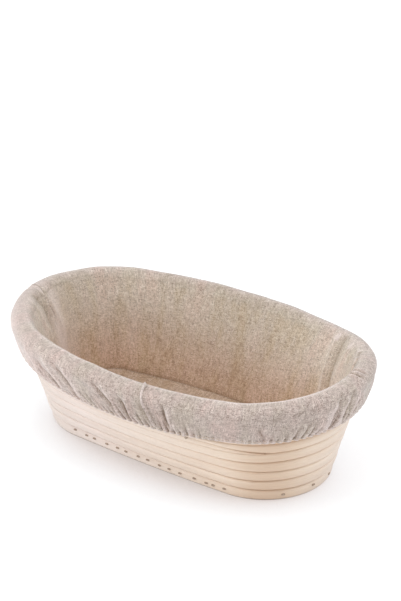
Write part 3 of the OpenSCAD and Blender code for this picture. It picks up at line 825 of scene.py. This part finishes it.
def inside_rows():
    """From the floor seam, where the cloth is tucked in, up the inside, with a painted highlight on a ridge
    at the left end and painted shade in the tuck.
    """
    tuck_depth, ridge_limit, closest = 0.3, 0.13, 0.05
    foot_z = wall_z(SEAM_LEVEL, turns)
    painted_ridge_glare = along_turns(turns, [
        (0.455, 0.0), (0.475, 0.15), (0.49, 0.32), (0.513, 1.0), (0.519, 0.85), (0.527, 0.1), (0.54, 0.0),
    ])
    for share in np.linspace(0, 1, INSIDE_ROWS):
        height = foot_z + (rim_z + ROLL_START - foot_z) * share
        tuck = tuck_depth * (1 - ease(share * 24))
        level = level_at(height)
        stand = np.maximum(inside_stand(level), closest)
        stand = stand + seam_stray(turns) * (1 - ease((level - SEAM_LEVEL) / 3))
        crease = np.clip(crease_of(inside_folds(level)) + tuck + painted_shade_by_turn, ridge_limit, 1)
        glare_scale = painted_ridge_glare * (1.35 - 0.7 * share)
        yield band_row(height - 0.8 * tuck, LINER_INSIDE - stand + tuck, crease, glare_scale)


def roll_rows():
    """The roll over the rim, with the ridge of the closing seam across it."""
    # Distance off the wall's outer face, height above the cane, and how much it leans in and out.
    roll = np.array([
        (-8.8, ROLL_START, 0.7, 0.0), (-8.6, -1.0, 0.9, 0.0), (-7.9, 0.6, 1.0, 0.0), (-6.7, 1.7, 1.0, 0.1),
        (-5.2, 2.0, 0.9, 0.3), (-3.4, 1.6, 0.7, 0.6), (-1.6, 0.6, 0.4, 0.9), (0.1, -1.0, 0.2, 1.0),
        (1.5, -3.2, 0.05, 1.0), (2.4, -6.0, 0.0, 0.9), (SKIRT_STAND, SKIRT_START, 0.0, 0.75),
    ])
    lengths = np.concatenate([[0], np.cumsum(np.hypot(*np.diff(roll[:, :2], axis=0).T))])
    inwards, outwards = rim_inwards(turns), rim_outwards(turns)
    # Slow waves, crumples at the right end, the notch of the left pleat, and a sunken stretch behind it.
    waves = 0.18 * np.sin(2 * math.pi * girth / 61 + 0.6) + 0.1 * np.sin(2 * math.pi * girth / 29)
    crumple = np.exp(-(apart(girth, girth_at(0.022)) / 5) ** 2)
    crumple = crumple * (1.2 * np.sin(2 * math.pi * girth / 5.2) - 0.8)
    kink = 0.9 * np.exp(-(apart(girth, girth_at(0.5285)) / 1.3) ** 2)
    settled = along_turns(turns, [(0.0, 0.0), (0.26, 0.0), (0.33, 0.8), (0.44, 1.1), (0.5, 0.4), (0.56, 0.0)])
    painted_crest_highlight = along_turns(turns, [(0.0, 0.3), (0.04, 0.0), (0.56, 0.0), (0.64, 1.0), (0.94, 1.0)])
    for share in np.linspace(0, 1, RIM_ROWS + 2)[1:-1]:
        off, up, leans_in, leans_out = (np.interp(share * lengths[-1], lengths, part) for part in roll.T)
        crumpled = crumple * math.exp(-((share - 0.36) / 0.16) ** 2)
        seam_turn = np.interp(share, (0.2, 0.45, 0.7, 0.95), (0.767, 0.7697, 0.7718, 0.7735))
        seam_fade = math.exp(-((share - 0.33) / (0.22 if share < 0.33 else 0.5)) ** 2)
        seam_bump = 1.6 * seam_fade * np.exp(-(apart(girth, girth_at(seam_turn)) / 0.75) ** 2)
        sideways = float(ease((share - 0.3) / 0.4))
        height = rim_z + up + crumpled + (1 - 0.8 * sideways) * seam_bump
        height = height + math.sin(math.pi * share) * (waves - kink - settled)
        level = level_at(np.minimum(height, rim_z))
        past = level + 4 * max(share - 0.12, 0)
        fades = ease(1.5 - 2.4 * share)
        inside = fades * (inside_stand(past) - EASY_STAND - LOOSE_LEAN * inwards)
        outside = ease(2.2 * share - 1.2) * skirt_folds(level)
        # Painted highlight along the front edge, and painted shade inside the left end, less so next to the
        # crest.
        crease = crease_of(fades * inside_folds(past) + outside + crumpled + seam_bump)
        crease = crease - 0.3 * painted_crest_highlight * math.exp(-((share - 0.28) / 0.055) ** 2)
        crease = crease - 0.45 * bleached * math.exp(-((share - 0.15) / 0.14) ** 2)
        crease = np.clip(crease + (1 - share) * (painted_shade_by_turn + 0.7 * bleached), 0, 1)
        off = off + sideways * seam_bump
        off = off - inside + outside - leans_in * inwards + leans_out * outwards
        yield band_row(height, off, crease, share)


def skirt_rows():
    """The skirt, fuller at the two ends, down to the hem, and its edge turned up behind the elastic."""
    fullness = along_turns(turns, [
        (0.02, 1.5), (0.06, 2.2), (0.1, 2.2), (0.15, 0.6), (0.35, 0.4), (0.47, 1.0), (0.54, 1.5), (0.6, 1.5),
        (0.65, 0.6), (0.72, 0.2), (0.88, 0.2), (0.96, 1.4),
    ])
    # Where it bulges just under the rim and not halfway down.
    high_bulge = along_turns(turns, [
        (0.02, 0.0), (0.06, 1.0), (0.11, 1.0), (0.16, 0.0), (0.49, 0.0), (0.54, 1.0), (0.6, 1.0), (0.66, 0.0),
    ])
    least, inner, lift, edge_radius = 0.95, 0.3, 0.25, 1.3
    outwards, gathered = rim_outwards(turns), gather_share(turns)
    top_z = rim_z + SKIRT_START
    shares = np.linspace(0, 1, SKIRT_ROWS)
    heights = top_z + (hem_z - top_z) * shares[:, None]
    cut, close = gathers(heights - hem_z)
    hem_stand = least + 0.25 + 2.7 * gathered
    for i, share in enumerate(shares):
        above = heights[i] - hem_z
        stand = SKIRT_STAND + (hem_stand - SKIRT_STAND) * ease(1.4 * share ** (1 + 2 * high_bulge))
        stand = stand + 0.75 * outwards * (1 - share)
        stand = stand + fullness * np.sin(math.pi * share ** (1.5 - 0.7 * high_bulge))
        # The thread above the hem draws the cloth in, and the lower edge curls under.
        sewn = (0.25 + 0.8 * close[i]) * np.exp(-((above - HEM_HEIGHT) / 0.8) ** 2)
        long_folds = skirt_folds(level_at(heights[i])) * (0.4 + 0.6 * ease(above / 9))
        folds = long_folds - cut[i] * ease(3 * share) - sewn
        off = np.maximum(stand + folds, least)
        curl = np.sqrt(np.clip(1 - (1 - above / edge_radius) ** 2, 0, 1))
        curl = np.where(above < edge_radius, curl, 1)
        off = inner + 0.3 + (off - inner - 0.3) * (0.35 + 0.65 * curl)
        # Painted highlight: the loops between the gathers are painted paler, most of all near the hem, and so
        # is the hem's band; the creases get painted shade.
        painted_loop_highlight = 0.34 * gathered * (1 - 1.6 * close[i]) * np.exp(-above / 4.5)
        crease = np.clip(crease_of(folds) + painted_shade_by_turn - painted_loop_highlight - 0.1 * (above < HEM_HEIGHT), 0, 1)
        yield band_row(heights[i] + lift * cut[i] * share ** 3, off, crease)
    for off, up in ((inner + 0.2, 0.05), (inner, 0.5), (inner, 2.0), (inner, HEM_HEIGHT)):
        yield band_row(hem_z + lift * cut[-1] * (up < 1) + up, off + 0 * turns)


def cloth_piece(name, rows):
    """A sheet from rows of points: its weave runs round and along it in metres, and it knows its depth.

    Depth is 0 outside, 1 inside near the rim and 2 at the foot, for the colours of the linen, which are
    painted lighter inside and a warm shade at the foot.
    """
    count, around = rows.shape[:2]
    points = rows[:, :, :3]
    down = np.linalg.norm(np.diff(points, axis=0), axis=2).mean(1)
    along = np.concatenate([[0], np.cumsum(down)])
    row = np.arange(count)
    deep = 2 - ease(row / INSIDE_ROWS * 1.1) - ease((row - INSIDE_ROWS + 4) / 14)
    grain = np.stack(np.broadcast_arrays(girth[None, :] / 1000, along[:, None] / 1000, deep[:, None]), -1)
    faces = []
    for i in range(count - 1):
        a, b = i * around, (i + 1) * around
        faces += [(a + k, b + k, b + (k + 1) % around, a + (k + 1) % around) for k in range(around)]
    return add_piece(
        name, points.reshape(-1, 3), faces, grain=grain.reshape(-1, 3), crease=rows[:, :, 3].ravel(),
        bleached=rows[:, :, 4].ravel(),
    )


band_rows = np.stack([*inside_rows(), *roll_rows(), *skirt_rows()])
band = cloth_piece("linen_band", band_rows)
band.data.materials.append(linen)
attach(band, "liner")
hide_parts("liner_wall", "liner_skirt", "hem_casing")


# The elastic: a narrow knitted band in the hem, stretched and then let go, so that it draws the cloth in.
# It lies against the cane, between the skirt and the edge that is turned up behind it.
ELASTIC_WIDTH = 2.9
ELASTIC_THICKNESS = 0.4


def knitted_elastic():
    """Knitted elastic, rubber threads covered with white yarn: matt, ribbed along its length every 0.8 mm."""
    material, tree = new_material("knitted_elastic")
    place = node(tree, "ShaderNodeTexCoord").outputs["Object"]
    ribs = node(tree, "ShaderNodeTexWave", {"Vector": place}, bands_direction="Z", Scale=400.0)
    colour = ramp(tree, ribs.outputs["Fac"], [(0.2, srgb("#DAD5CD")), (0.8, srgb("#F5F2EC"))])
    bump = node(tree, "ShaderNodeBump", {"Height": ribs.outputs["Fac"]}, Strength=0.4, Distance=0.0002)
    shader = node(
        tree, "ShaderNodeBsdfPrincipled",
        {"Base Color": colour, "Normal": bump.outputs["Normal"]}, Roughness=0.85,
    )
    node(tree, "ShaderNodeOutputMaterial", {"Surface": shader.outputs["BSDF"]})
    return material


def hem_elastic():
    """The closed loop of elastic, flat against the slope of the wall, in the middle of the hem."""
    off_the_cane = 0.6
    across, up = square_cane(4.0)
    middle = hem_z + HEM_HEIGHT / 2
    z = middle[:, None] + ELASTIC_WIDTH / 2 * up
    off = off_the_cane + ELASTIC_THICKNESS / 2 * across + wall_slope(turns)[:, None] * (z - middle[:, None])
    oval = tuple(part[:, None] for part in wall_oval(level_at(middle)))
    x, y = beside_oval(oval, turns[:, None], off)
    points = np.stack([x, y, z], -1)
    faces = tube_faces(COLUMNS, CANE_POINTS, closed=True)
    return add_piece("hem_elastic_band", points.reshape(-1, 3), faces)


elastic = hem_elastic()
elastic.data.materials.append(knitted_elastic())
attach(elastic, "liner")
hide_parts("hem_elastic")


# The sewing: rows of short stitches in undyed cotton thread.
# They run round the floor, up the closing seam and above the hem. Each stitch thins out at both ends.
STITCH = 2.6
STITCH_STEP = 3.3
THREAD_RADIUS = 0.18


def stitches(name, path):
    """A row of separate stitches along a path, each a short thread that tapers at both ends."""
    taper = 0.97
    path = np.asarray(path)
    length = np.concatenate([[0], np.cumsum(np.linalg.norm(np.diff(path, axis=0), axis=1))])
    points, faces = [], []
    rings, sides = 7, 8
    a = np.linspace(0, 2 * math.pi, sides, endpoint=False)[:, None]
    thick = THREAD_RADIUS * np.sqrt(1 - (np.linspace(-1, 1, rings) * taper) ** 2)[:, None, None]
    for start in np.arange(0, length[-1] - STITCH, STITCH_STEP):
        spots = start + np.linspace(0, STITCH, rings)
        line = np.stack([np.interp(spots, length, path[:, k]) for k in range(3)], -1)
        ahead = line[-1] - line[0]
        side = np.cross(ahead, (0.0, 0.0, 1.0) if abs(ahead[2]) < STITCH / 2 else (1.0, 0.0, 0.0))
        over = np.cross(side, ahead)
        side, over = side / np.linalg.norm(side), over / np.linalg.norm(over)
        ring = line[:, None] + thick * (np.cos(a) * side + np.sin(a) * over)
        faces += tube_faces(rings, sides, first=len(points))
        points += ring.reshape(-1, 3).tolist()
    return add_piece(name, points, faces)


def cotton_thread():
    """Spun cotton sewing thread, undyed: matt cream, two plies twisted about once every 0.6 mm."""
    material, tree = new_material("cotton_sewing_thread")
    place = node(tree, "ShaderNodeTexCoord").outputs["Object"]
    twist = node(tree, "ShaderNodeTexNoise", {"Vector": place}, Scale=1600.0, Detail=2.0)
    colour = ramp(tree, twist.outputs["Fac"], [(0.35, srgb("#B9A28C")), (0.65, srgb("#D8C6B4"))])
    bump = node(tree, "ShaderNodeBump", {"Height": twist.outputs["Fac"]}, Strength=0.3, Distance=0.0001)
    shader = node(
        tree, "ShaderNodeBsdfPrincipled",
        {"Base Color": colour, "Normal": bump.outputs["Normal"]}, Roughness=0.85,
    )
    node(tree, "ShaderNodeOutputMaterial", {"Surface": shader.outputs["BSDF"]})
    return material


def seam_paths():
    """Where the three rows of sewing run: in the groove round the floor, and on the cloth of the band."""
    inside_the_seam, below_the_seam, skirt_height = 0.35, 0.75, 25
    loop = np.append(turns, turns[0])
    x, y, z = seam_edge(loop, inside_the_seam)
    floor_line = np.stack([x, y, z - below_the_seam], -1)
    column = int(np.argmin(np.abs(turns - CLOSING_SEAM)))
    closing_line = band_rows[4:INSIDE_ROWS - 2, column, :3]
    above_hem = int(SKIRT_ROWS - 1 - SKIRT_ROWS * HEM_HEIGHT / skirt_height)
    hem_line = band_rows[INSIDE_ROWS + RIM_ROWS + above_hem, :, :3]
    return floor_line, closing_line, np.concatenate([hem_line, hem_line[:1]])


cotton = cotton_thread()
sewn_rows = (
    ("floor_seam_stitches", "floor_seam_thread"),
    ("closing_seam_stitches", "closing_seam_thread"),
    ("hem_stitches", "hem_thread"),
)
for (name, stands_for), path in zip(sewn_rows, seam_paths()):
    row_of_stitches = stitches(name, path)
    row_of_stitches.data.materials.append(cotton)
    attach(row_of_stitches, "liner")
    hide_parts(stands_for)


# The setting: a plain white sweep that keeps the basket's faint shadow, and a white studio round it.
# Three soft boxes light it, from above, the front left and the back right.
# The sweep is seen as nearly white, while it throws its full light back on the object.
SWEEP_HALF = 4000


def seen_directly(tree):
    """1 for what the camera sees, straight or in a reflection, and 0 for the light on the object."""
    path = node(tree, "ShaderNodeLightPath").outputs
    straight = node(
        tree, "ShaderNodeMath", {0: path["Is Camera Ray"], 1: path["Is Glossy Ray"]}, operation="MAXIMUM"
    )
    seen = node(
        tree, "ShaderNodeMath", {0: straight.outputs[0], 1: path["Is Transmission Ray"]}, operation="MAXIMUM"
    )
    return seen.outputs[0]


def white_sweep():
    """Matt white paper. The camera sees it glow nearly white, and darker where the object stands close.

    That contact shadow comes from ambient occlusion within 45 mm. It is measured along a tilted
    direction, so that it gathers more on the side towards the camera.
    """
    material, tree = new_material("white_paper_sweep")
    paper = node(tree, "ShaderNodeBsdfDiffuse", Color=(0.9, 0.9, 0.9, 1))
    shade = node(tree, "ShaderNodeBsdfDiffuse", Color=(0.25, 0.28, 0.27, 1))
    upwards = node(tree, "ShaderNodeCombineXYZ", X=-0.15, Y=0.33, Z=0.93)
    near = node(
        tree, "ShaderNodeAmbientOcclusion", {"Normal": upwards.outputs[0]}, samples=12, Distance=0.045
    )
    glow = node(tree, "ShaderNodeEmission", {"Color": ramp(tree, near.outputs["AO"], [
        (0.05, (0.1, 0.07, 0.05, 1)), (0.2, (0.49, 0.39, 0.37, 1)), (0.4, (0.67, 0.62, 0.63, 1)),
        (0.6, (0.75, 0.72, 0.74, 1)), (1.0, (0.85, 0.83, 0.84, 1)),
    ])})
    pale = node(tree, "ShaderNodeAddShader", {0: shade.outputs[0], 1: glow.outputs[0]})
    both = node(
        tree, "ShaderNodeMixShader", {0: seen_directly(tree), 1: paper.outputs[0], 2: pale.outputs[0]}
    )
    node(tree, "ShaderNodeOutputMaterial", {"Surface": both.outputs[0]})
    return material


corners = [(x * SWEEP_HALF, y * SWEEP_HALF, 0) for x, y in ((-1, -1), (1, -1), (1, 1), (-1, 1))]
sweep = add_piece("floor", corners, [(0, 1, 2, 3)])
sweep.data.materials.append(white_sweep())

world = bpy.data.worlds.new("studio")
bpy.context.scene.world = world
world.use_nodes = True
sky = world.node_tree
sky.nodes.clear()
strength = node(
    sky, "ShaderNodeMapRange", {"Value": seen_directly(sky)}, **{"To Min": 0.7, "To Max": 1.0}
)
light = node(sky, "ShaderNodeBackground", {"Strength": strength.outputs["Result"]}, Color=(1, 1, 1, 1))
node(sky, "ShaderNodeOutputWorld", {"Surface": light.outputs[0]})

for name, place, size, power in (
    ("top_softbox", (-0.2, -0.4, 1.9), 1.0, 9.0),
    ("left_softbox", (-1.1, -1.1, 0.8), 1.0, 10.5),
    ("right_softbox", (1.2, 0.8, 1.2), 1.0, 8.0),
):
    lamp = bpy.data.lights.new(name, "AREA")
    lamp.shape = "SQUARE"
    lamp.size = size
    lamp.energy = power
    holder = bpy.data.objects.new(name, lamp)
    holder.location = place
    x, y, z = place
    holder.rotation_euler = (math.atan2(math.hypot(x, y), z), 0, math.atan2(-y, -x) - math.pi / 2)
    bpy.context.scene.collection.objects.link(holder)

looks_down, swings_round = 25.90, 36.39
camera = bpy.data.cameras.new("camera")
camera.sensor_width = 36.0
camera.lens = 113.73
camera.clip_start = 0.05
camera.clip_end = 20.0
viewer = bpy.data.objects.new("camera", camera)
viewer.location = (0.6379, -0.8530, 0.6147)
viewer.rotation_euler = (math.radians(90 - looks_down), 0, math.radians(swings_round))
bpy.context.scene.collection.objects.link(viewer)
bpy.context.scene.camera = viewer
bpy.context.scene.view_settings.view_transform = "Standard"
